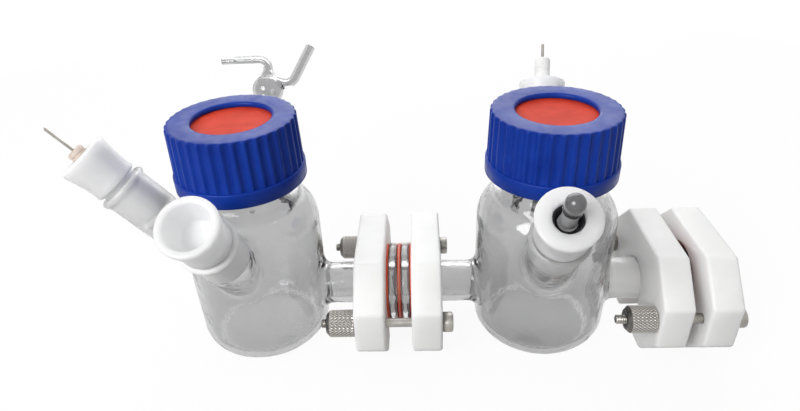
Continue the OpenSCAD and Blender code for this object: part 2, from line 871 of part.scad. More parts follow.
left_bottle();
right_bottle();
left_septum();
left_cap();
right_septum();
right_cap();
plain_stopper();
counter_stopper();
counter_ferrule();
counter_wire();
gas_adapter();
reference_stopper();
reference_gland();
reference_rod();
contact_rod();
holder_stopper();
holder_rod();
holder_pin();
sample_clip();
bridge_plate_left();
bridge_plate_right();
bridge_washer_left();
bridge_washer_right();
bridge_seal_left();
bridge_seal_right();
membrane();
window_plate_inner();
window_plate_outer();
window_washer();
window_seal_inner();
window_seal_outer();
window_disc();
bridge_screws();
window_screws();
bridge_nut_front();
bridge_nut_back();
window_nut_front();
window_nut_back();
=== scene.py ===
import json
import math

import bpy
from mathutils import Matrix, Vector
from mathutils.kdtree import KDTree


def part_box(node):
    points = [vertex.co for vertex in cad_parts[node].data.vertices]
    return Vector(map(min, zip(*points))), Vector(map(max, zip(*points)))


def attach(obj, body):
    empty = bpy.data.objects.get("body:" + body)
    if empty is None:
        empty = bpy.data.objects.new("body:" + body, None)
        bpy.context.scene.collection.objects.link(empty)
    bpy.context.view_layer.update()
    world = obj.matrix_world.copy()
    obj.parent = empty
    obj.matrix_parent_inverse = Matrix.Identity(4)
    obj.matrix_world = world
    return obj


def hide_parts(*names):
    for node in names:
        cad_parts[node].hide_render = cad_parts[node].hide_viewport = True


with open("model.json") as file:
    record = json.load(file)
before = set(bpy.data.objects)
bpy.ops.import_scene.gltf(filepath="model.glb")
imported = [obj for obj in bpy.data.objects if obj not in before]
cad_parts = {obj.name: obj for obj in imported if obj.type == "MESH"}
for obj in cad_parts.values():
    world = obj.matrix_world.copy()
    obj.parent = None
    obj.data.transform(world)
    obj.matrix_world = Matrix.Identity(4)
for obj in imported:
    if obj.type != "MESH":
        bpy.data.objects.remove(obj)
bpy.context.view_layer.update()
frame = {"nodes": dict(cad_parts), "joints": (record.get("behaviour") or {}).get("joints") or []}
nodes = frame["nodes"]
joints = {joint["name"]: joint for joint in frame["joints"]}
mm = 0.001


def middle(node):
    low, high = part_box(node)
    return (low + high) / 2


# places that the frame gives
leftX = middle("left_septum").x
rightX = middle("right_septum").x
armZ = middle("membrane").z
gasAxis = Vector(joints["gas_adapter_turn"]["axis"])
gasMouth = Vector(joints["gas_adapter_turn"]["pos_m"])
mouth = gasMouth.y / gasAxis.y / mm  # a port's mouth, in mm along the port from the bottle's axis
portFoot = gasMouth.z - mouth * mm * gasAxis.z


def portPlace(axis, bottleX):
    # local z runs out along the port, from the bottle's axis
    out = Vector(axis).normalized()
    side = Vector((-out.y, out.x, 0)).normalized()
    place = Matrix((side.cross(out), side, out)).transposed().to_4x4()
    place.translation = (bottleX, 0, portFoot)
    return place


def acrossPlace(x, y, z, towards=1):
    # local z runs along +X, or along -X
    place = Matrix(((0, 0, towards), (towards, 0, 0), (0, 1, 0))).to_4x4()
    place.translation = (x, y, z)
    return place


plainPort = portPlace(joints["plain_stopper_out"]["axis"], leftX)
counterPort = portPlace(joints["counter_stopper_out"]["axis"], leftX)
gasPort = portPlace(gasAxis, leftX)
referencePort = portPlace(joints["reference_stopper_out"]["axis"], rightX)
holderPort = portPlace(joints["holder_stopper_out"]["axis"], rightX)
upright = {"left": Matrix.Translation((leftX, 0, 0)), "right": Matrix.Translation((rightX, 0, 0))}
print("frame read")


# finishes

def newMaterial(name, color, roughness, metallic=0.0):
    material = bpy.data.materials.new(name)
    material.use_nodes = True
    shader = material.node_tree.nodes["Principled BSDF"]
    shader.inputs["Base Color"].default_value = (*color, 1)
    shader.inputs["Roughness"].default_value = roughness
    shader.inputs["Metallic"].default_value = metallic
    return material, shader


def noiseOn(material, scale, detail=3.0, squeeze=1.0):
    # a squeeze along X leaves fine lines across it, as turning does
    tree = material.node_tree
    place = tree.nodes.new("ShaderNodeTexCoord")
    mapping = tree.nodes.new("ShaderNodeMapping")
    mapping.inputs["Scale"].default_value = (squeeze, 1, 1)
    noise = tree.nodes.new("ShaderNodeTexNoise")
    noise.inputs["Scale"].default_value = scale
    noise.inputs["Detail"].default_value = detail
    tree.links.new(place.outputs["Object"], mapping.inputs["Vector"])
    tree.links.new(mapping.outputs["Vector"], noise.inputs["Vector"])
    return noise


def readAttribute(material, name):
    given = material.node_tree.nodes.new("ShaderNodeAttribute")
    given.attribute_name = name
    return given


def addBump(material, shader, noise, strength, distance):
    tree = material.node_tree
    bump = tree.nodes.new("ShaderNodeBump")
    bump.inputs["Strength"].default_value = strength
    bump.inputs["Distance"].default_value = distance * mm
    tree.links.new(noise.outputs["Fac"], bump.inputs["Height"])
    tree.links.new(bump.outputs["Normal"], shader.inputs["Normal"])


def addRamp(material, source, socket, low, high, start=0.35, stop=0.65):
    tree = material.node_tree
    ramp = tree.nodes.new("ShaderNodeValToRGB")
    ramp.color_ramp.elements[0].position = start
    ramp.color_ramp.elements[1].position = stop
    ramp.color_ramp.elements[0].color = (*low, 1)
    ramp.color_ramp.elements[1].color = (*high, 1)
    tree.links.new(source.outputs["Fac"], ramp.inputs["Fac"])
    tree.links.new(ramp.outputs["Color"], socket)
    return ramp


def joinNumbers(tree, operation, first, second):
    node = tree.nodes.new("ShaderNodeMath")
    node.operation = operation
    tree.links.new(first, node.inputs[0])
    tree.links.new(second, node.inputs[1])
    return node.outputs[0]


def raySwitch(tree, rays, seen, unseen):
    # one number for the named kinds of ray, another for the rest
    path = tree.nodes.new("ShaderNodeLightPath")
    total = path.outputs[rays[0]]
    for ray in rays[1:]:
        total = joinNumbers(tree, "MAXIMUM", total, path.outputs[ray])
    choose = tree.nodes.new("ShaderNodeMix")
    choose.data_type = "FLOAT"
    # input 0 chooses between the numbers at inputs 2 and 3
    choose.inputs[2].default_value = unseen
    choose.inputs[3].default_value = seen
    tree.links.new(total, choose.inputs[0])
    return choose.outputs[0]


def grey(value):
    return (value, value, value)


glassLook = {
    "color": (0.74, 0.74, 0.743),
    # painted shade: the bottle's foot is tinted darker grey
    "footPaintedShade": (0.50, 0.50, 0.503),
    "tubeColor": (0.64, 0.64, 0.645),
    "groundColor": (0.97, 0.97, 0.965),
    "groundRoughness": 0.55,
    "groundClear": 0.2,
    "depthColor": (0.51, 0.51, 0.515),
    "depthDensity": 70,
    "lampShare": 0.9,
    "ior": 1.47,
    "waves": 130,
    "waveStrength": 0.45,
    "waveDepth": 0.5,
}
# the attribute "wall" runs from 0, a foot tinted grey as painted shade, over these two to 1, ground
# glass
clearWall = 0.25
paleWall = 0.5


def clearGlass(name, color, footPaintedShade):
    # thick glass is greyer through its depth, and the foot's tint is painted shade
    look = glassLook
    material, shader = newMaterial(name, color, 0.0)
    inputs = shader.inputs
    inputs["IOR"].default_value = look["ior"]
    wall = readAttribute(material, "wall")
    tint = addRamp(material, wall, inputs["Base Color"], footPaintedShade, look["groundColor"], 0, paleWall)
    tint.color_ramp.elements.new(clearWall).color = (*color, 1)
    addRamp(material, wall, inputs["Roughness"], grey(0), grey(look["groundRoughness"]),
            paleWall, 1)
    addRamp(material, wall, inputs["Transmission Weight"], grey(1), grey(look["groundClear"]),
            paleWall, 1)
    waves = noiseOn(material, look["waves"])
    addBump(material, shader, waves, look["waveStrength"], look["waveDepth"])
    tree = material.node_tree
    out = tree.nodes["Material Output"]
    depth = tree.nodes.new("ShaderNodeVolumeAbsorption")
    depth.inputs["Color"].default_value = (*look["depthColor"], 1)
    depth.inputs["Density"].default_value = look["depthDensity"]
    tree.links.new(depth.outputs["Volume"], out.inputs["Volume"])
    # light reaches what stands in the glass
    opening = tree.nodes.new("ShaderNodeBsdfTransparent")
    opening.inputs["Color"].default_value = (*grey(look["lampShare"]), 1)
    choose = tree.nodes.new("ShaderNodeMixShader")
    lampRays = raySwitch(tree, ["Is Shadow Ray", "Is Diffuse Ray"], 1.0, 0.0)
    tree.links.new(lampRays, choose.inputs[0])
    tree.links.new(shader.outputs["BSDF"], choose.inputs[1])
    tree.links.new(opening.outputs["BSDF"], choose.inputs[2])
    tree.links.new(choose.outputs["Shader"], out.inputs["Surface"])
    return material


def solidFinish(look):
    # tint: noise scale and two colours; gloss: noise scale, two roughnesses and a squeeze;
    # colour by an attribute: an attribute, two colours and the levels between which they change, for
    # painted shade and painted light;
    # grain: noise scale, detail, strength, depth in mm and a squeeze;
    # glow: how much light goes in and comes out again, in which colours, and about how far in mm
    material, shader = newMaterial(look["name"], look["color"], look["roughness"],
                                   look.get("metallic", 0.0))
    inputs = shader.inputs
    if "tint" in look:
        scale, dark, light = look["tint"]
        addRamp(material, noiseOn(material, scale), inputs["Base Color"], dark, light)
    # painted shade and painted light, set by an attribute
    if "grooveShade" in look:
        name, dark, light, start, stop = look["grooveShade"]
        addRamp(material, readAttribute(material, name), inputs["Base Color"], dark, light, start, stop)
    if "gloss" in look:
        scale, low, high, *squeeze = look["gloss"]
        addRamp(material, noiseOn(material, scale, 3.0, *squeeze), inputs["Roughness"],
                grey(low), grey(high))
    if "grain" in look:
        scale, detail, strength, depth, *squeeze = look["grain"]
        addBump(material, shader, noiseOn(material, scale, detail, *squeeze), strength, depth)
    if "glow" in look:
        weight, colors, reach = look["glow"]
        inputs["Subsurface Weight"].default_value = weight
        inputs["Subsurface Radius"].default_value = colors
        inputs["Subsurface Scale"].default_value = reach * mm
    if "specular" in look:
        inputs["Specular IOR Level"].default_value = look["specular"]
    if "clear" in look:
        inputs["Transmission Weight"].default_value = look["clear"]
    return material


glass = clearGlass("clear glass", glassLook["color"], glassLook["footPaintedShade"])
lampGlass = clearGlass("lamp-worked glass", glassLook["tubeColor"], glassLook["tubeColor"])
discGlass = clearGlass("window glass", glassLook["color"], glassLook["color"])
capBlue = solidFinish({
    "name": "blue moulded plastic", "color": (0.005, 0.037, 0.305), "roughness": 0.38,
    "tint": (70, (0.0025, 0.026, 0.245), (0.005, 0.037, 0.305)),
    "gloss": (260, 0.30, 0.42), "grain": (900, 4, 0.12, 0.08), "specular": 0.14,
})
septumRed = solidFinish({
    "name": "red silicone", "color": (0.66, 0.055, 0.026), "roughness": 0.5,
    "tint": (120, (0.55, 0.040, 0.018), (0.66, 0.055, 0.026)),
    "grain": (1500, 4, 0.15, 0.06), "glow": (0.15, (1, 0.3, 0.3), 1.5), "specular": 0.06,
})
# painted light: the seals' red is brighter than the septum's, to make up for the shade in the gaps
# between the plates
sealRedPaintedLight = solidFinish({
    "name": "red seal brightened as painted light", "color": (0.90, 0.14, 0.07), "roughness": 0.5,
    "tint": (120, (0.80, 0.10, 0.05), (0.90, 0.14, 0.07)),
    "grain": (1500, 4, 0.15, 0.06), "glow": (0.4, (1, 0.3, 0.3), 2), "specular": 0.2,
})
plateWhite = solidFinish({
    "name": "white machined plate", "color": (0.875, 0.875, 0.865), "roughness": 0.48,
    "tint": (45, (0.85, 0.85, 0.84), (0.895, 0.895, 0.885)),
    "gloss": (300, 0.40, 0.56), "grain": (700, 4, 0.10, 0.06), "glow": (0.8, (1, 0.97, 0.94), 4),
})
stopperPlastic = solidFinish({
    "name": "translucent stopper", "color": (0.96, 0.965, 0.97), "roughness": 0.36,
    "tint": (160, (0.945, 0.95, 0.955), (0.975, 0.98, 0.985)),
    "grain": (500, 3, 0.10, 0.08), "glow": (1.0, (1, 1, 1), 9), "clear": 0.1,
})
turnedSteel = solidFinish({
    "name": "turned steel", "color": (0.37, 0.35, 0.32), "roughness": 0.36, "metallic": 1.0,
    "tint": (220, (0.31, 0.295, 0.27), (0.43, 0.41, 0.38)),
    "gloss": (500, 0.30, 0.46, 6), "grain": (1600, 3, 0.12, 0.04, 8),
})
# painted shade darkens the grooves between the points of the knurl, and painted light brightens the
# points
knurlPaintedShadeSteel = solidFinish({
    "name": "knurled steel with painted shade", "color": (0.37, 0.35, 0.32), "roughness": 0.36, "metallic": 1.0,
    "grooveShade": ("knurl", (0.12, 0.113, 0.104), (0.50, 0.48, 0.45), 0.05, 0.55),
    "gloss": (300, 0.28, 0.44), "grain": (1600, 3, 0.10, 0.04),
})
# painted reflection: the chamfered end of a nut is painted dark, as if it mirrored darker surroundings
steelPaintedReflection = solidFinish({
    "name": "steel end with painted dark reflection", "color": (0.13, 0.125, 0.12), "roughness": 0.4, "metallic": 1.0,
    "tint": (300, (0.10, 0.095, 0.09), (0.17, 0.16, 0.15)), "grain": (1600, 3, 0.12, 0.04),
})
blackRubber = solidFinish({
    "name": "black rubber", "color": (0.012, 0.011, 0.014), "roughness": 0.42,
    "gloss": (400, 0.34, 0.52), "grain": (1400, 3, 0.15, 0.05),
})
greyRod = solidFinish({
    "name": "grey electrode body", "color": (0.33, 0.33, 0.335), "roughness": 0.3,
    "tint": (240, (0.29, 0.29, 0.295), (0.37, 0.37, 0.375)), "grain": (900, 3, 0.08, 0.04),
})
greyCap = solidFinish({
    "name": "dark electrode cap", "color": (0.085, 0.085, 0.089), "roughness": 0.2,
    "tint": (240, (0.07, 0.07, 0.074), (0.11, 0.11, 0.114)),
    "grain": (900, 3, 0.08, 0.04), "specular": 0.75,
})
darkClip = solidFinish({
    "name": "dark clip", "color": (0.035, 0.033, 0.035), "roughness": 0.4,
    "gloss": (300, 0.30, 0.52), "grain": (1200, 3, 0.15, 0.05),
})
giltMetal = solidFinish({
    "name": "gilt", "color": (0.83, 0.58, 0.22), "roughness": 0.22, "metallic": 1.0,
    "gloss": (400, 0.16, 0.32),
})
pinkCollar = solidFinish({
    "name": "collar plastic", "color": (0.62, 0.52, 0.46), "roughness": 0.42,
    "tint": (260, (0.55, 0.45, 0.39), (0.68, 0.58, 0.52)), "grain": (1000, 3, 0.10, 0.04),
})
holderWhite = solidFinish({
    "name": "white holder", "color": (0.84, 0.84, 0.83), "roughness": 0.4,
    "tint": (200, (0.79, 0.79, 0.78), (0.87, 0.87, 0.86)), "grain": (900, 3, 0.10, 0.05),
})
paleFilm = solidFinish({
    "name": "membrane film", "color": (0.78, 0.72, 0.62), "roughness": 0.35,
    "tint": (150, (0.72, 0.66, 0.56), (0.82, 0.76, 0.66)), "clear": 0.4,
})
print("finishes made")


# modelling, in a few helpers

def startPiece():
    if bpy.context.object and bpy.context.object.mode != "OBJECT":
        leaveEdit()
    bpy.ops.object.select_all(action="DESELECT")


def pick(piece):
    startPiece()
    piece.select_set(True)
    bpy.context.view_layer.objects.active = piece


def editAll(piece):
    pick(piece)
    bpy.ops.object.mode_set(mode="EDIT")
    bpy.ops.mesh.select_all(action="SELECT")


def leaveEdit():
    bpy.ops.object.mode_set(mode="OBJECT")


def selectSharp(piece, angle):
    pick(piece)
    bpy.ops.object.mode_set(mode="EDIT")
    bpy.ops.mesh.select_mode(type="EDGE")
    bpy.ops.mesh.select_all(action="DESELECT")
    bpy.ops.mesh.edges_select_sharp(sharpness=math.radians(angle))
    leaveEdit()


def applyModifier(piece, kind, **settings):
    pick(piece)
    bpy.ops.object.modifier_add(type=kind)
    modifier = piece.modifiers[-1]
    for key, value in settings.items():
        setattr(modifier, key, value)
    bpy.ops.object.modifier_apply(modifier=modifier.name)


def cutAway(piece, cutter):
    applyModifier(piece, "BOOLEAN", operation="DIFFERENCE", object=cutter, solver="EXACT")
    bpy.data.objects.remove(cutter)


def remesh(piece, voxel):
    applyModifier(piece, "REMESH", mode="VOXEL", voxel_size=voxel * mm, adaptivity=0)


def relax(piece, passes, group=""):
    applyModifier(piece, "SMOOTH", factor=0.5, iterations=passes, vertex_group=group)


def roundEdges(piece, width, segments=3, angle=35):
    applyModifier(piece, "BEVEL", width=width * mm, segments=segments, limit_method="ANGLE",
                  angle_limit=math.radians(angle), harden_normals=False)


def cleanMesh(piece):
    editAll(piece)
    bpy.ops.mesh.remove_doubles(threshold=1e-7)
    bpy.ops.mesh.normals_make_consistent(inside=False)
    leaveEdit()


def smoothShade(piece, angle=40):
    pick(piece)
    bpy.ops.object.shade_smooth_by_angle(angle=math.radians(angle))


def putPiece(piece, place):
    pick(piece)
    piece.matrix_world = place
    bpy.ops.object.transform_apply(location=True, rotation=True, scale=True)


def joinPieces(pieces):
    startPiece()
    for piece in pieces:
        piece.select_set(True)
    bpy.context.view_layer.objects.active = pieces[0]
    bpy.ops.object.join()
    return pieces[0]


def finishPiece(piece, body, slot, materials, *replaced):
    piece.data.materials.clear()
    for material in materials:
        piece.data.materials.append(material)
    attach(piece, body)
    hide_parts(*replaced)


def secondFinish(piece, chosen):
    # faces whose middle passes the test, in mm, take the piece's second finish
    for face in piece.data.polygons:
        if chosen(face.center / mm):
            face.material_index = 1


def turnPiece(name, rings, columns, closed=False):
    # a ring is (radius, height); open outlines get flat ends, closed ones meet their first ring
    startPiece()
    radius, height = rings[0]
    bpy.ops.mesh.primitive_circle_add(vertices=columns, radius=radius * mm,
                                      fill_type="NOTHING" if closed else "NGON")
    piece = bpy.context.object
    piece.name = name
    editAll(piece)
    bpy.ops.transform.translate(value=(0, 0, height * mm))
    path = rings[1:] + (rings[:1] if closed else [])
    for nextRadius, nextHeight in path:
        lift = (0, 0, (nextHeight - height) * mm)
        bpy.ops.mesh.extrude_region_move(TRANSFORM_OT_translate={"value": lift})
        grow = nextRadius / radius
        bpy.ops.transform.resize(value=(grow, grow, 1), center_override=(0, 0, nextHeight * mm))
        radius, height = nextRadius, nextHeight
    leaveEdit()
    cleanMesh(piece)
    return piece


def pullIn(vertex, depth):
    # towards the axis that a piece was turned round
    shrink = 1 - depth * mm / math.hypot(vertex.co.x, vertex.co.y)
    vertex.co.x *= shrink
    vertex.co.y *= shrink


def copyNode(node, name):
    piece = bpy.data.objects.new(name, nodes[node].data.copy())
    bpy.context.scene.collection.objects.link(piece)
    editAll(piece)
    bpy.ops.mesh.remove_doubles(threshold=1e-6)
    leaveEdit()
    return piece


def flatCopy(node, name):
    # a copy of a node with its flat faces whole again, ready for rounded edges
    piece = copyNode(node, name)
    editAll(piece)
    bpy.ops.mesh.dissolve_limited(angle_limit=math.radians(0.5))
    leaveEdit()
    return piece


def ease(share):
    # from 0 to 1, slow at both ends
    return share * share * (3 - 2 * share)


# glass bottles: one piece of blown glass, so every branch runs into the body in a soft fillet

bottle = {
    "voxel": 0.89,
    "filletReach": 11.0,
    "filletPasses": 90,
    "edgeReach": 1.6,
    "edgePasses": 6,
    "lastPasses": 2,
    "shadeAngle": 60,
    "creaseAngle": 24,
    "bodyReach": 34.0,
    "bodyLow": 6.0,
    "bodyTop": 79.0,
    "neckRadius": 22.2,
    "threadRadius": 0.9,
    "threadPitch": 4.0,
    "threadLow": 89.0,
    "threadTurns": 3,
    "threadSteps": 96,
    "jointLength": 20.0,
    "jointRadius": 12.5,
    "jointFade": 2.0,
    "footHeight": 35.0,
    "floorHeight": 2.2,
    # painted highlight: a pale ring in the heel stands in for the highlight along the base's inner edge
    "heelRing": 23.0,
    "heelRingWidth": 1.4,
    "heelRingHeight": 4.0,
    "heelHighlightLevel": 0.95,
    "flangeInside": 11.0,
    "flangeMargin": 0.2,
    "flangeGround": 0.58,
    # painted light: the window's arm beside and in the window plates is painted pale and frosted, where
    # the slot's shade would darken it
    "windowArm": 14.0,
    "windowArmPaintedLight": 0.73,
}
# how grey each foot is painted, as painted shade, and how far each port's joint is ground, as the
# attribute "wall" says it
bottleWall = {
    "left": {"foot": 0.12, "ports": [(counterPort, 0.7), (plainPort, 1.0), (gasPort, 0.7)]},
    "right": {"foot": 0.0, "ports": [(holderPort, 0.75), (referencePort, 0.68)]},
}
# a flange lies between the two nodes of a pair
flangePairs = (
    ("bridge_washer_left", "bridge_seal_left"),
    ("bridge_seal_right", "bridge_washer_right"),
    ("window_washer", "window_seal_inner"),
)


def neckThread(place):
    # a round bead wound up the neck
    startPiece()
    bpy.ops.mesh.primitive_circle_add(vertices=10, radius=bottle["threadRadius"] * mm)
    thread = bpy.context.object
    editAll(thread)
    bpy.ops.transform.rotate(value=math.pi / 2, orient_axis="X", center_override=(0, 0, 0))
    bpy.ops.transform.translate(value=(bottle["neckRadius"] * mm, 0, bottle["threadLow"] * mm))
    leaveEdit()
    applyModifier(thread, "SCREW", angle=math.tau, screw_offset=bottle["threadPitch"] * mm,
                  steps=bottle["threadSteps"], render_steps=bottle["threadSteps"],
                  iterations=bottle["threadTurns"], use_merge_vertices=True)
    editAll(thread)
    bpy.ops.mesh.fill_holes(sides=0)
    leaveEdit()
    cleanMesh(thread)
    putPiece(thread, place)
    return thread


def creasePoints(piece, bottleX):
    # points along the creases: those where a branch meets the body, and the rest
    selectSharp(piece, bottle["creaseAngle"])
    branch, rest = [], []
    for edge in piece.data.edges:
        if not edge.select:
            continue
        start, end = (piece.data.vertices[index].co for index in edge.vertices)
        steps = max(1, int((end - start).length / mm))
        for step in range(steps + 1):
            point = start.lerp(end, step / steps)
            reach = math.hypot(point.x - bottleX, point.y) / mm
            atBodyHeight = bottle["bodyLow"] < point.z / mm < bottle["bodyTop"]
            onBody = reach < bottle["bodyReach"] and atBodyHeight
            (branch if onBody else rest).append(point)
    return branch, rest


def nearTree(points):
    tree = KDTree(len(points))
    for index, point in enumerate(points):
        tree.insert(point, index)
    tree.balance()
    return tree


def softenCreases(piece, points, reach, passes):
    tree = nearTree(points)
    group = piece.vertex_groups.new(name="creases")
    for vertex in piece.data.vertices:
        gap = tree.find(vertex.co)[2] / mm
        if gap < reach:
            group.add([vertex.index], ease(1 - gap / reach), "REPLACE")
    relax(piece, passes, group.name)
    piece.vertex_groups.clear()


def markWall(piece, bottleX, foot, ports):
    # the foot is painted greyer towards the bottom as painted shade, with a pale ring in its heel as a
    # painted highlight; ports and flanges are ground, and the window's arm is made pale and frosted as
    # painted light
    mark = piece.data.attributes.new("wall", "FLOAT", "POINT")
    for vertex in piece.data.vertices:
        # painted shade: the foot is tinted greyer, fading out up to the foot's height
        rise = min(1, max(0, vertex.co.z / mm / bottle["footHeight"]))
        level = foot + (clearWall - foot) * ease(rise)
        reach = math.hypot(vertex.co.x - bottleX, vertex.co.y) / mm
        # painted highlight: the heel ring is made pale
        lift = vertex.co.z / mm - bottle["floorHeight"]
        gap = abs(reach - bottle["heelRing"]) / bottle["heelRingWidth"]
        if gap < 1 and 0 < lift < bottle["heelRingHeight"]:
            level += (bottle["heelHighlightLevel"] - level) * (1 - gap)
        mark.data[vertex.index].value = level
    for place, ground in ports:
        back = place.inverted()
        for vertex in piece.data.vertices:
            point = back @ vertex.co / mm
            depth = point.z - mouth + bottle["jointLength"]
            if math.hypot(point.x, point.y) < bottle["jointRadius"] and depth > 0:
                share = min(1, depth / bottle["jointFade"])
                mark.data[vertex.index].value = clearWall + (ground - clearWall) * share
    margin = bottle["flangeMargin"] * mm
    for before, after in flangePairs:
        start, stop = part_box(before)[1].x - margin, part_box(after)[0].x + margin
        for vertex in piece.data.vertices:
            reach = math.hypot(vertex.co.y, vertex.co.z - armZ) / mm
            if start < vertex.co.x < stop and reach > bottle["flangeInside"]:
                mark.data[vertex.index].value = bottle["flangeGround"]
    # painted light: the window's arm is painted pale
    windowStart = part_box("window_plate_inner")[0].x - bottle["windowArm"] * mm
    for vertex in piece.data.vertices:
        if vertex.co.x > windowStart:
            mark.data[vertex.index].value = bottle["windowArmPaintedLight"]


def glassBottle(side):
    bottleX = upright[side].translation.x
    node = side + "_bottle"
    piece = copyNode(node, side + "BottleGlass")
    branch, rest = creasePoints(piece, bottleX)
    piece = joinPieces([piece, neckThread(upright[side])])
    remesh(piece, bottle["voxel"])
    softenCreases(piece, branch, bottle["filletReach"], bottle["filletPasses"])
    softenCreases(piece, rest, bottle["edgeReach"], bottle["edgePasses"])
    relax(piece, bottle["lastPasses"])
    smoothShade(piece, bottle["shadeAngle"])
    finishPiece(piece, "cell", "glass", [glass], node)
    markWall(piece, bottleX, bottleWall[side]["foot"], bottleWall[side]["ports"])
    print(piece.name, len(piece.data.polygons), "faces")


for side in ("left", "right"):
    glassBottle(side)
print("bottles made")


# gas adapter: lamp-worked glass, all its branches run into the bulb

adapter = {"voxel": 0.36, "softenPasses": 14, "shadeAngle": 60}


def gasAdapter():
    piece = copyNode("gas_adapter", "gasAdapterGlass")
    remesh(piece, adapter["voxel"])
    relax(piece, adapter["softenPasses"])
    smoothShade(piece, adapter["shadeAngle"])
    finishPiece(piece, "gas_adapter", "glass", [lampGlass], "gas_adapter")
    print("gas adapter", len(piece.data.polygons), "faces")


gasAdapter()


# screw caps with their septa

cap = {
    "bore": 22.7,
    "low": 83.02,
    "top": 110.52,
    "collar": 27.3,
    "collarHeight": 6.6,
    "ribLow": 26.7,
    "ribTop": 26.1,
    "roof": 108.31,
    "hole": 16.2,
    "ribs": 36,
    "hollow": 2.1,
    "hollowOut": 1.1,
    "columnsPerRib": 12,
    "shadeAngle": 50,
}


def ribDepth(turn):
    # depth of the hollow between two ribs, at a turn round the cap
    pitch = math.tau * cap["ribLow"] / cap["ribs"]
    place = (turn * cap["ribs"] / math.tau) % 1
    offset = min(place, 1 - place) * pitch
    if offset >= cap["hollow"]:
        return 0.0
    return max(0.0, math.sqrt(cap["hollow"] ** 2 - offset ** 2) - cap["hollowOut"])


def capRings():
    # radius, height and how much of a hollow's depth shows there
    low, top, roof = cap["low"], cap["top"], cap["roof"]
    bore, collar, hole = cap["bore"], cap["collar"], cap["hole"]
    ribLow, ribTop = cap["ribLow"], cap["ribTop"]
    ribStart = low + cap["collarHeight"]
    rings = [
        (bore + 0.5, low, 0), (collar - 0.5, low, 0), (collar, low + 0.5, 0),
        (collar, ribStart - 0.6, 0), (collar - 0.12, ribStart - 0.2, 0), (collar - 0.4, ribStart, 0),
        (ribLow, ribStart + 0.02, 0.9), (ribLow - 0.02, ribStart + 0.3, 1),
    ]
    steps = 6
    for step in range(1, steps + 1):
        share = step / steps
        rings.append((ribLow - 0.02 + (ribTop - ribLow) * share,
                      ribStart + 0.3 + (top - 0.8 - ribStart - 0.3) * share, 1))
    rings += [
        (ribTop - 0.16, top - 0.35, 0.65), (ribTop - 0.42, top - 0.1, 0.35),
        (ribTop - 0.8, top, 0.15), (ribTop - 2.0, top, 0), (hole + 1.2, top, 0),
        (hole + 0.5, top - 0.12, 0), (hole, top - 0.6, 0), (hole, roof + 0.3, 0),
        (hole + 0.3, roof, 0), (bore, roof, 0), (bore, low + 0.5, 0),
    ]
    return rings


def screwCap(side):
    rings = capRings()
    columns = cap["ribs"] * cap["columnsPerRib"]
    piece = turnPiece(side + "CapFluted", [ring[:2] for ring in rings], columns, closed=True)
    depths = {(round(radius, 3), round(height, 3)): depth for radius, height, depth in rings}
    for vertex in piece.data.vertices:
        radius = math.hypot(vertex.co.x, vertex.co.y)
        depth = depths[(round(radius / mm, 3), round(vertex.co.z / mm, 3))]
        if depth:
            pullIn(vertex, depth * ribDepth(math.atan2(vertex.co.y, vertex.co.x)))
    smoothShade(piece, cap["shadeAngle"])
    putPiece(piece, upright[side])
    finishPiece(piece, side + "_cap", "cap", [capBlue], side + "_cap")


septum = {"radius": 22.2, "low": 105.06, "top": 108.26, "dish": 0.35}


def redSeptum(side):
    radius, low, top, dish = septum["radius"], septum["low"], septum["top"], septum["dish"]
    piece = turnPiece(side + "SeptumRed", [
        (radius - 0.3, low), (radius, low + 0.3), (radius, top - 0.3), (radius - 0.3, top),
        (17.5, top), (16.0, top - 0.05), (12.0, top - dish * 0.6), (8.0, top - dish * 0.85),
        (4.0, top - dish * 0.97), (1.0, top - dish),
    ], columns=96)
    smoothShade(piece)
    putPiece(piece, upright[side])
    finishPiece(piece, side + "_liner", "septum", [septumRed], side + "_septum")


for side in ("left", "right"):
    screwCap(side)
    redSeptum(side)
print("caps made")


# stoppers: tapered plug, gap, then a waisted head; heights run out along the port

stopper = {
    "plugLength": 18.0,
    "plugEnd": 7.15,
    "plugMouth": 8.05,
    "gap": 1.5,
    "headLength": 17.4,
    "lipRadius": 9.75,
    "lipHeight": 2.2,
    "waistRadius": 9.5,
    "flare": 1.6,
    "topRadius": 11.0,
    "topEdge": 1.0,
    "cupRadius": 8.2,
    "cupFloor": 6.6,
    "cupDepth": 12.0,
    "counterBore": 0.75,
    "counterRecess": (3.7, 8.0),  # radius and depth
    "referenceBore": 3.5,
    "referenceRecess": (5.3, 6.5),
    "holderBore": 2.6,
    "columns": 72,
}
headLow = mouth + stopper["gap"]
headTop = headLow + stopper["headLength"]
plugLow = mouth - stopper["plugLength"]


def stopperOutside():
    plugEnd, plugMouth = stopper["plugEnd"], stopper["plugMouth"]
    lip, waist, top = stopper["lipRadius"], stopper["waistRadius"], stopper["topRadius"]
    flareLow = headLow + stopper["lipHeight"]
    flareLength = headTop - stopper["topEdge"] - flareLow
    rings = [
        (plugEnd - 0.7, plugLow), (plugEnd, plugLow + 0.7), (plugMouth, mouth),
        (plugMouth - 0.1, headLow - 0.2), (lip - 0.5, headLow), (lip, headLow + 0.5),
        (lip, headLow + 1.1), (waist, flareLow),
    ]
    steps = 6
    for step in range(1, steps + 1):
        share = step / steps
        rings.append((waist + (top - waist) * share ** stopper["flare"],
                      flareLow + flareLength * share))
    return rings + [(top - 0.07, headTop - 0.6), (top - 0.3, headTop - 0.2), (top - 0.8, headTop)]


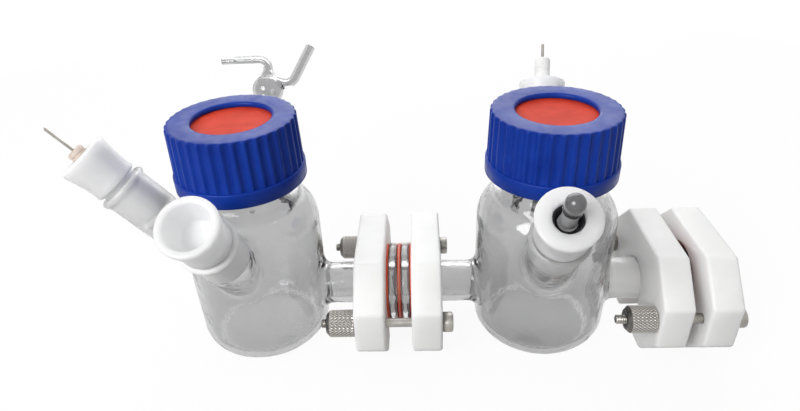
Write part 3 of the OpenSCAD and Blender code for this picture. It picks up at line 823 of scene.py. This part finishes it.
def plainStopper():
    cup, base = stopper["cupRadius"], stopper["cupFloor"]
    floor = headTop - stopper["cupDepth"]
    rings = stopperOutside() + [
        (cup + 0.9, headTop), (cup + 0.35, headTop - 0.2), (cup + 0.1, headTop - 0.55),
        (cup, headTop - 1.0), (cup + (base - cup) * 0.5, (headTop + floor) / 2),
        (base, floor + 1.2), (base - 0.4, floor + 0.35), (base - 1.4, floor), (1.2, floor),
    ]
    piece = turnPiece("plainStopperCup", rings, stopper["columns"])
    smoothShade(piece)
    putPiece(piece, plainPort)
    finishPiece(piece, "plain_stopper", "stopper", [stopperPlastic], "plain_stopper")


def boredStopper(name, node, body, place, bore, recess=0.0, recessDepth=0.0):
    rings = stopperOutside()
    if recess:
        rings += [(recess + 0.3, headTop), (recess, headTop - 0.3), (recess, headTop - recessDepth),
                  (bore, headTop - recessDepth)]
    else:
        rings += [(bore + 0.3, headTop), (bore, headTop - 0.3)]
    rings.append((bore, plugLow))
    piece = turnPiece(name, rings, stopper["columns"], closed=True)
    smoothShade(piece)
    putPiece(piece, place)
    finishPiece(piece, body, "stopper", [stopperPlastic], node)
    return piece


plainStopper()
boredStopper("counterStopperHead", "counter_stopper", "counter_plug", counterPort,
             stopper["counterBore"], *stopper["counterRecess"])
referenceHead = boredStopper("referenceStopperHead", "reference_stopper", "reference_plug",
                             referencePort, stopper["referenceBore"], *stopper["referenceRecess"])
boredStopper("holderStopperHead", "holder_stopper", "holder_plug", holderPort,
             stopper["holderBore"])
print("stoppers made")


# electrodes and what holds them

electrodes = {
    "collarRadius": 3.68,
    "collarIn": 7.95,
    "collarOut": 3.2,
    "collarPlay": 0.15,
    "wireRadius": 0.6,
    "wireInside": 0.4,
    "wireEnd": 30.0,
    "wireOut": 12.5,
    "rodRadius": 3.4,
    "rodCap": 5.4,
    "rodNeck": 0.65,
    "rodEnd": 34.0,
    "rodOut": 16.0,
    "glandRadius": 5.28,
    "glandHeight": 5.0,
    "glandDrop": 1.5,
    "contactRadius": 1.2,
    "contactOff": 5.9,
    "contactTurn": 65.0,
    "contactEnd": 38.0,
    "grooveRadius": 1.24,
    "grooveMouth": 4.0,
    "holderRadius": 3.7,
    "holderRod": 2.5,
    "holderOut": 12.0,
    "holderEnd": 44.0,
    "holderDark": 66.0,
    "pinRadius": 0.7,
    "pinFoot": 0.5,
    "pinIn": 5.9,
    "pinOut": 7.0,
    "clipEdge": 0.35,
}


def domeRings(radius, height, steps=6):
    # a half-round end above height
    turns = [step * math.pi / 2 / steps for step in range(steps + 1)]
    return [(max(radius * math.cos(turn), radius * 0.04), height + radius * math.sin(turn))
            for turn in turns]


def counterElectrode():
    radius, wire = electrodes["collarRadius"], electrodes["wireRadius"]
    low, top = headTop - electrodes["collarIn"], headTop + electrodes["collarOut"]
    bore = wire + electrodes["collarPlay"]
    collar = turnPiece("counterCollar", [
        (bore, low), (radius, low), (radius, headTop + 0.4), (radius - 0.25, headTop + 0.6),
        (radius - 0.25, headTop + 1.1), (radius, headTop + 1.3), (radius, top - 0.9),
        (radius - 0.4, top - 0.3), (radius - 1.0, top), (bore, top),
    ], columns=48, closed=True)
    smoothShade(collar)
    putPiece(collar, counterPort)
    finishPiece(collar, "counter_plug", "ferrule", [pinkCollar], "counter_ferrule")
    tip = top + electrodes["wireOut"]
    thin, end = electrodes["wireInside"], electrodes["wireEnd"]
    pin = turnPiece("counterPin", [(thin * 0.7, end), (thin, end + 0.3), (thin, top), (wire, top + 0.1)]
                    + domeRings(wire, tip), columns=24)
    smoothShade(pin)
    putPiece(pin, counterPort)
    finishPiece(pin, "counter_wire", "wire", [turnedSteel], "counter_wire")


def referenceElectrode():
    rod, end = electrodes["rodRadius"], electrodes["rodEnd"]
    tip = headTop + electrodes["rodOut"] - rod
    capLow = tip - electrodes["rodCap"]
    neck = rod - electrodes["rodNeck"]
    piece = turnPiece("referenceRodGrey", [
        (rod - 1.0, end), (rod - 0.8, end + 0.2), (rod - 0.1, end + 3.0), (rod - 0.1, headTop - 4.0),
        (neck, headTop - 3.5), (neck, capLow), (rod - 0.4, capLow + 0.1), (rod - 0.15, capLow + 0.4),
    ] + domeRings(rod - 0.15, tip, steps=8), columns=48)
    smoothShade(piece)
    finishPiece(piece, "reference_rod", "reference", [greyRod, greyCap], "reference_rod")
    secondFinish(piece, lambda point: point.z > capLow)
    putPiece(piece, referencePort)


def referenceGland():
    gland, inner = electrodes["glandRadius"], electrodes["rodRadius"] + 0.1
    low = headTop - electrodes["glandHeight"] - electrodes["glandDrop"]
    top = low + electrodes["glandHeight"]
    ring = turnPiece("referenceGlandRing", [
        (inner, low), (gland, low), (gland, top - 0.4), (gland - 0.12, top - 0.1), (gland - 0.4, top),
        (gland - 0.6, top - 0.1), (inner + 0.5, low + 2.4), (inner, low + 2.0),
    ], columns=56, closed=True)
    smoothShade(ring)
    putPiece(ring, referencePort)
    finishPiece(ring, "reference_plug", "gland", [blackRubber], "reference_gland")


def contactRod():
    contact = electrodes["contactRadius"]
    roundEnd = [(radius, -height)
                for radius, height in reversed(domeRings(contact, -electrodes["contactEnd"]))]
    stick = turnPiece("contactRodGilt", roundEnd + [(contact, mouth - 0.2)], columns=28)
    smoothShade(stick)
    turned = Matrix.Rotation(math.radians(electrodes["contactTurn"]), 4, "Z")
    offset = Matrix.Translation((electrodes["contactOff"] * mm, 0, 0))
    besideRod = referencePort @ turned @ offset
    putPiece(stick, besideRod)
    finishPiece(stick, "reference_plug", "gilt", [giltMetal], "contact_rod")
    cutGroove(besideRod)


def cutGroove(place):
    # the gilt rod lies in a groove down the stopper's plug
    radius, length = electrodes["grooveRadius"] * mm, (stopper["plugLength"] + 2) * mm
    wide = electrodes["grooveMouth"] * mm
    centre = mouth * mm - length / 2
    startPiece()
    bpy.ops.mesh.primitive_cylinder_add(vertices=32, radius=radius, depth=length,
                                        location=(0, 0, centre))
    bed = bpy.context.object
    startPiece()
    bpy.ops.mesh.primitive_cube_add(size=1, location=(wide / 2, 0, centre),
                                    scale=(wide, 2 * radius, length))
    side = bpy.context.object
    for cutter in (bed, side):
        putPiece(cutter, place @ cutter.matrix_world)
        cutAway(referenceHead, cutter)
    smoothShade(referenceHead)


def sampleHolder():
    rod, head = electrodes["holderRod"], electrodes["holderRadius"]
    end, dark = electrodes["holderEnd"], electrodes["holderDark"]
    seat, top = headTop + 0.05, headTop + electrodes["holderOut"]
    foot, pin = electrodes["pinFoot"], electrodes["pinRadius"]
    piece = turnPiece("holderRodWhite", [
        (rod, end), (rod, dark), (rod, seat), (head - 0.25, seat), (head, seat + 0.25),
        (head, seat + 5.2), (head - 0.35, seat + 5.5), (head - 0.35, seat + 6.1), (head, seat + 6.4),
        (head, top - 1.0), (head - 0.3, top - 0.4), (head - 1.0, top), (foot + 0.02, top),
    ], columns=48)
    smoothShade(piece)
    finishPiece(piece, "holder", "holder", [holderWhite, darkClip], "holder_rod")
    secondFinish(piece, lambda point: point.z < dark)
    putPiece(piece, holderPort)
    spike = turnPiece("holderContactPin", [
        (foot, top - electrodes["pinIn"]), (foot, top), (pin, top + 0.05),
    ] + domeRings(pin, top + electrodes["pinOut"]), columns=24)
    smoothShade(spike)
    putPiece(spike, holderPort)
    finishPiece(spike, "holder", "wire", [turnedSteel], "holder_pin")
    clip = flatCopy("sample_clip", "sampleClipDark")
    roundEdges(clip, electrodes["clipEdge"])
    smoothShade(clip)
    finishPiece(clip, "holder", "clip", [darkClip], "sample_clip")


counterElectrode()
referenceElectrode()
referenceGland()
contactRod()
sampleHolder()
print("electrodes made")


# clamps: plates, seals, screws and nuts

clamp = {
    "sharpAngle": 30,
    "longEdge": 9.0,
    "plateEdge": 1.3,
    "holeEdge": 0.4,
    "plateShade": 35,
    "sealBulge": 0.1,
    "sealShade": 50,
}
plates = {
    "bridge_plate_left": "bridgePlateLeft", "bridge_plate_right": "bridgePlateRight",
    "window_plate_inner": "windowPlateInner", "window_plate_outer": "windowPlateOuter",
}
# name and inner radius
seals = {
    "bridge_washer_left": ("bridgeWasherLeft", 9.9),
    "bridge_washer_right": ("bridgeWasherRight", 9.9),
    "bridge_seal_left": ("bridgeSealLeft", 9.6),
    "bridge_seal_right": ("bridgeSealRight", 9.6),
    "window_washer": ("windowWasherRed", 9.9),
    "window_seal_inner": ("windowSealInner", 9.6),
    "window_seal_outer": ("windowSealOuter", 12.0),
}


def roundLongEdges(piece, length, width):
    selectSharp(piece, clamp["sharpAngle"])
    corners = piece.data.vertices
    for edge in piece.data.edges:
        start, end = edge.vertices
        edge.select = edge.select and (corners[end].co - corners[start].co).length > length * mm
    bpy.ops.object.mode_set(mode="EDIT")
    bpy.ops.mesh.bevel(offset=width * mm, segments=4, affect="EDGES", clamp_overlap=False)
    leaveEdit()


def clampPlate(node, name):
    piece = flatCopy(node, name)
    roundLongEdges(piece, clamp["longEdge"], clamp["plateEdge"])
    roundEdges(piece, clamp["holeEdge"], segments=2, angle=40)
    smoothShade(piece, clamp["plateShade"])
    finishPiece(piece, "cell", "plate", [plateWhite], node)


def flatRing(node, name, inner):
    low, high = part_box(node)
    outer, thick = (high.y - low.y) / 2 / mm, (high.x - low.x) / mm
    bulge = clamp["sealBulge"]
    piece = turnPiece(name, [
        (inner, 0), (outer, 0), (outer + bulge * 0.75, thick * 0.25), (outer + bulge, thick * 0.5),
        (outer + bulge * 0.75, thick * 0.75), (outer, thick), (inner, thick),
    ], columns=96, closed=True)
    smoothShade(piece, clamp["sealShade"])
    putPiece(piece, acrossPlace(low.x, 0, armZ))
    finishPiece(piece, "cell", "seal", [sealRedPaintedLight], node)


for node, name in plates.items():
    clampPlate(node, name)
for node, (name, inner) in seals.items():
    flatRing(node, name, inner)
for node, material in (("membrane", paleFilm), ("window_disc", discGlass)):
    nodes[node].data.materials.clear()
    nodes[node].data.materials.append(material)


screw = {
    "radius": 2.0,
    "headRadius": 4.3,
    "headHeight": 4.6,
    "headFlutes": 30,
    "fluteDepth": 0.12,
    "socket": 1.73,
    "socketDepth": 2.3,
    "tip": 0.4,
    "pitch": 0.7,
    "threadDepth": 0.28,
    "threadLength": 20.0,
    "tipFade": 0.8,
    "shankFade": 2.0,
    "ringsPerTurn": 4,
}


def capScrew(name, length):
    # head up from zero, shank down, thread at the far end
    radius, head, height = screw["radius"], screw["headRadius"], screw["headHeight"]
    step = screw["pitch"] / screw["ringsPerTurn"]
    threadRings = int(screw["threadLength"] / step)
    threadLow = -length + screw["tip"]
    threadTop = threadLow + threadRings * step
    rings = [(radius - 0.5, -length)]
    rings += [(radius, threadLow + index * step) for index in range(threadRings)]
    rings += [(radius, -0.2), (radius + 0.2, 0), (head - 0.3, 0), (head, 0.3), (head, height - 0.8),
              (head - 0.2, height - 0.25), (head - 0.7, height)]
    columns = screw["headFlutes"] * 2
    piece = turnPiece(name, rings, columns)
    for vertex in piece.data.vertices:
        x, y, z = vertex.co / mm
        turn = math.atan2(y, x)
        if threadLow - 0.1 < z < threadTop:
            place = (z / screw["pitch"] - turn / math.tau) % 1
            fade = min(1, (threadTop - z) / screw["shankFade"], (z + length) / screw["tipFade"])
            pullIn(vertex, screw["threadDepth"] * abs(2 * place - 1) * fade)
        elif 0.2 < z < height - 0.7 and math.hypot(x, y) > head - 0.1:
            pullIn(vertex, screw["fluteDepth"] * (round(turn / math.tau * columns) % 2))
    startPiece()
    bpy.ops.mesh.primitive_cylinder_add(vertices=6, radius=screw["socket"] * mm,
                                        depth=2 * screw["socketDepth"] * mm,
                                        location=(0, 0, height * mm))
    cutAway(piece, bpy.context.object)
    smoothShade(piece)
    return piece


def screwPair(node, name, seatNode, otherSeat=None):
    # both heads bear on plates; with another seat, the back screw is put in from that side
    low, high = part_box(node)
    y = (high.y - low.y) / 2 - screw["headRadius"] * mm
    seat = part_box(seatNode)[1].x
    front = capScrew(name, (seat - low.x) / mm)
    putPiece(front, acrossPlace(seat, -y, armZ))
    if otherSeat:
        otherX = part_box(otherSeat)[0].x
        back = capScrew(name + "Back", (high.x - otherX) / mm)
        putPiece(back, acrossPlace(otherX, y, armZ, -1))
    else:
        back = capScrew(name + "Back", (seat - low.x) / mm)
        putPiece(back, acrossPlace(seat, y, armZ))
    finishPiece(joinPieces([front, back]), "cell", "steel", [turnedSteel], node)


nut = {
    "radius": 6.0,
    "bore": 2.08,
    "chamfer": 1.5,
    "knurlStart": 0.9,
    "knurlGrooves": 30,
    "knurlColumns": 150,
    "knurlRise": 1.7,
    "knurlStep": 0.28,
    "knurlDepth": 0.4,
    "plainMark": 0.4,  # what the attribute "knurl" says beside the knurl
    "shadeAngle": 20,
}
# name, and the way along X that the far end points
nuts = {
    "bridge_nut_front": ("bridgeNutFront", -1), "bridge_nut_back": ("bridgeNutBack", -1),
    "window_nut_front": ("windowNutFront", -1), "window_nut_back": ("windowNutBack", 1),
}


def knurlHeight(turn, along):
    # two crossed sets of grooves leave diamonds: 0 in a groove, 1 on a point
    across, rise = turn / math.tau * nut["knurlGrooves"], along / nut["knurlRise"]
    return min(abs((across + way * rise) % 1 * 2 - 1) for way in (1, -1))


def thumbNut(node, name, towards):
    low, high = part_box(node)
    length = (high.x - low.x) / mm
    radius, bore, chamfer = nut["radius"], nut["bore"], nut["chamfer"]
    start, stop = nut["knurlStart"], length - chamfer - 0.3
    rows = int((stop - start) / nut["knurlStep"])
    rings = [(bore, 0), (radius - 0.7, 0), (radius - 0.2, 0.5)]
    rings += [(radius, start + index * (stop - start) / rows) for index in range(rows + 1)]
    rings += [(radius - 0.25, stop + 0.25), (radius - chamfer - 0.2, length - 0.05),
              (radius - chamfer - 0.3, length), (bore + 0.5, length), (bore, length - 0.4)]
    piece = turnPiece(name, rings, nut["knurlColumns"], closed=True)
    # this attribute also sets the painted shade in the grooves and the painted light on the points
    mark = piece.data.attributes.new("knurl", "FLOAT", "POINT")
    for vertex in piece.data.vertices:
        x, y, z = vertex.co / mm
        proud = nut["plainMark"]
        if math.hypot(x, y) > radius - 0.01:
            proud = knurlHeight(math.atan2(y, x), z)
            pullIn(vertex, (1 - proud) * nut["knurlDepth"])
        mark.data[vertex.index].value = proud
    smoothShade(piece, nut["shadeAngle"])
    finishPiece(piece, node, "steel", [knurlPaintedShadeSteel, steelPaintedReflection], node)
    # the chamfered end takes the painted dark reflection
    secondFinish(piece, lambda point: point.z > stop + 0.2)
    putPiece(piece, acrossPlace(*joints[node + "_turn"]["pos_m"], towards))


screwPair("bridge_screws", "bridgeScrewPair", "bridge_plate_right")
screwPair("window_screws", "windowScrewPair", "window_plate_outer", "window_plate_inner")
for node, (name, towards) in nuts.items():
    thumbNut(node, name, towards)
print("clamps made")


# camera at the photograph's place

cameraFit = {
    "focalPixels": 589.88,
    "imageWidth": 800,
    "sensor": 36.0,
    "place": (-53.86, -219.72, 200.63),
    "pitch": 31.24,
    "yaw": -2.52,
    "roll": 2.56,
    "nearest": 0.01,
}


def addCamera():
    pitch, yaw, roll = (math.radians(cameraFit[key]) for key in ("pitch", "yaw", "roll"))
    ahead = Vector((math.sin(yaw) * math.cos(pitch), math.cos(yaw) * math.cos(pitch),
                    -math.sin(pitch)))
    right = Vector((math.cos(yaw), -math.sin(yaw), 0))
    down = ahead.cross(right)
    turnedRight = math.cos(roll) * right + math.sin(roll) * down
    turnedDown = -math.sin(roll) * right + math.cos(roll) * down
    startPiece()
    bpy.ops.object.camera_add()
    camera = bpy.context.object
    place = Matrix((turnedRight, -turnedDown, -ahead)).transposed().to_4x4()
    place.translation = Vector(cameraFit["place"]) * mm
    camera.matrix_world = place
    camera.data.sensor_fit = "HORIZONTAL"
    camera.data.sensor_width = cameraFit["sensor"]
    camera.data.lens = cameraFit["sensor"] * cameraFit["focalPixels"] / cameraFit["imageWidth"]
    camera.data.clip_start = cameraFit["nearest"]
    bpy.context.scene.camera = camera


# floor, light and background, in metres

studio = {
    "floorSize": 6.0,
    "floorDrop": 0.0003,
    "floorWhite": 0.25,
    "floorGlow": 1.25,
    "shadowShare": 0.26,
    "glassShadowShare": 0.6,
    "whiteFrom": 0.35,
    "whiteBy": 0.7,
    "skyLight": 0.52,
    "aimHeight": 0.04,
}
lamps = {
    "top": {"place": (-0.10, 0.05, 0.75), "size": 0.5, "power": 0.15},
    "front": {"place": (-0.50, -0.60, 0.50), "size": 0.5, "power": 5.4},
    "back": {"place": (-0.05, 0.95, 0.60), "size": 1.2, "power": 7.0},
}


def addFloor():
    startPiece()
    bpy.ops.mesh.primitive_plane_add(size=studio["floorSize"],
                                     location=(leftX / 2, 0, -studio["floorDrop"]))
    floor = bpy.context.object
    floor.name = "floor"
    material = bpy.data.materials.new("floor")
    material.use_nodes = True
    tree = material.node_tree
    tree.nodes.clear()
    out = tree.nodes.new("ShaderNodeOutputMaterial")
    paint = tree.nodes.new("ShaderNodeBsdfDiffuse")
    paint.inputs["Color"].default_value = (*grey(studio["floorWhite"]), 1)
    glow = tree.nodes.new("ShaderNodeEmission")
    glow.inputs["Strength"].default_value = studio["floorGlow"]
    seen = raySwitch(tree, ["Is Camera Ray", "Is Glossy Ray"], 1 - studio["shadowShare"], 0.0)
    through = raySwitch(tree, ["Is Transmission Ray"], 1 - studio["glassShadowShare"], 0.0)
    # away from the object the floor is as white as the sky, so no horizon shows
    coords = tree.nodes.new("ShaderNodeTexCoord")
    distance = tree.nodes.new("ShaderNodeVectorMath")
    distance.operation = "LENGTH"
    tree.links.new(coords.outputs["Object"], distance.inputs[0])
    fade = tree.nodes.new("ShaderNodeMapRange")
    fade.inputs["From Min"].default_value = studio["whiteFrom"]
    fade.inputs["From Max"].default_value = studio["whiteBy"]
    tree.links.new(distance.outputs["Value"], fade.inputs["Value"])
    cameraRays = raySwitch(tree, ["Is Camera Ray"], 1.0, 0.0)
    far = joinNumbers(tree, "MULTIPLY", cameraRays, fade.outputs["Result"])
    near = joinNumbers(tree, "MAXIMUM", seen, through)
    mix = tree.nodes.new("ShaderNodeMixShader")
    tree.links.new(joinNumbers(tree, "MAXIMUM", near, far), mix.inputs[0])
    tree.links.new(paint.outputs[0], mix.inputs[1])
    tree.links.new(glow.outputs[0], mix.inputs[2])
    tree.links.new(mix.outputs[0], out.inputs["Surface"])
    floor.data.materials.append(material)


def addSky():
    world = bpy.data.worlds.new("sky")
    bpy.context.scene.world = world
    world.use_nodes = True
    tree = world.node_tree
    back = tree.nodes["Background"]
    back.inputs["Color"].default_value = (1, 1, 1, 1)
    whiteRays = ["Is Camera Ray", "Is Glossy Ray", "Is Transmission Ray"]
    strength = raySwitch(tree, whiteRays, 1.0, studio["skyLight"])
    tree.links.new(strength, back.inputs["Strength"])


def addLamp(name):
    lamp = lamps[name]
    startPiece()
    bpy.ops.object.light_add(type="AREA", location=lamp["place"])
    light = bpy.context.object
    light.name = name + " lamp"
    aim = Vector((leftX / 2, 0, studio["aimHeight"])) - Vector(lamp["place"])
    light.rotation_euler = aim.to_track_quat("-Z", "Y").to_euler()
    light.data.shape = "DISK"
    light.data.size = lamp["size"]
    light.data.energy = lamp["power"]


addCamera()
addFloor()
addSky()
for name in lamps:
    addLamp(name)
bpy.context.scene.view_settings.view_transform = "Standard"
print("studio set")
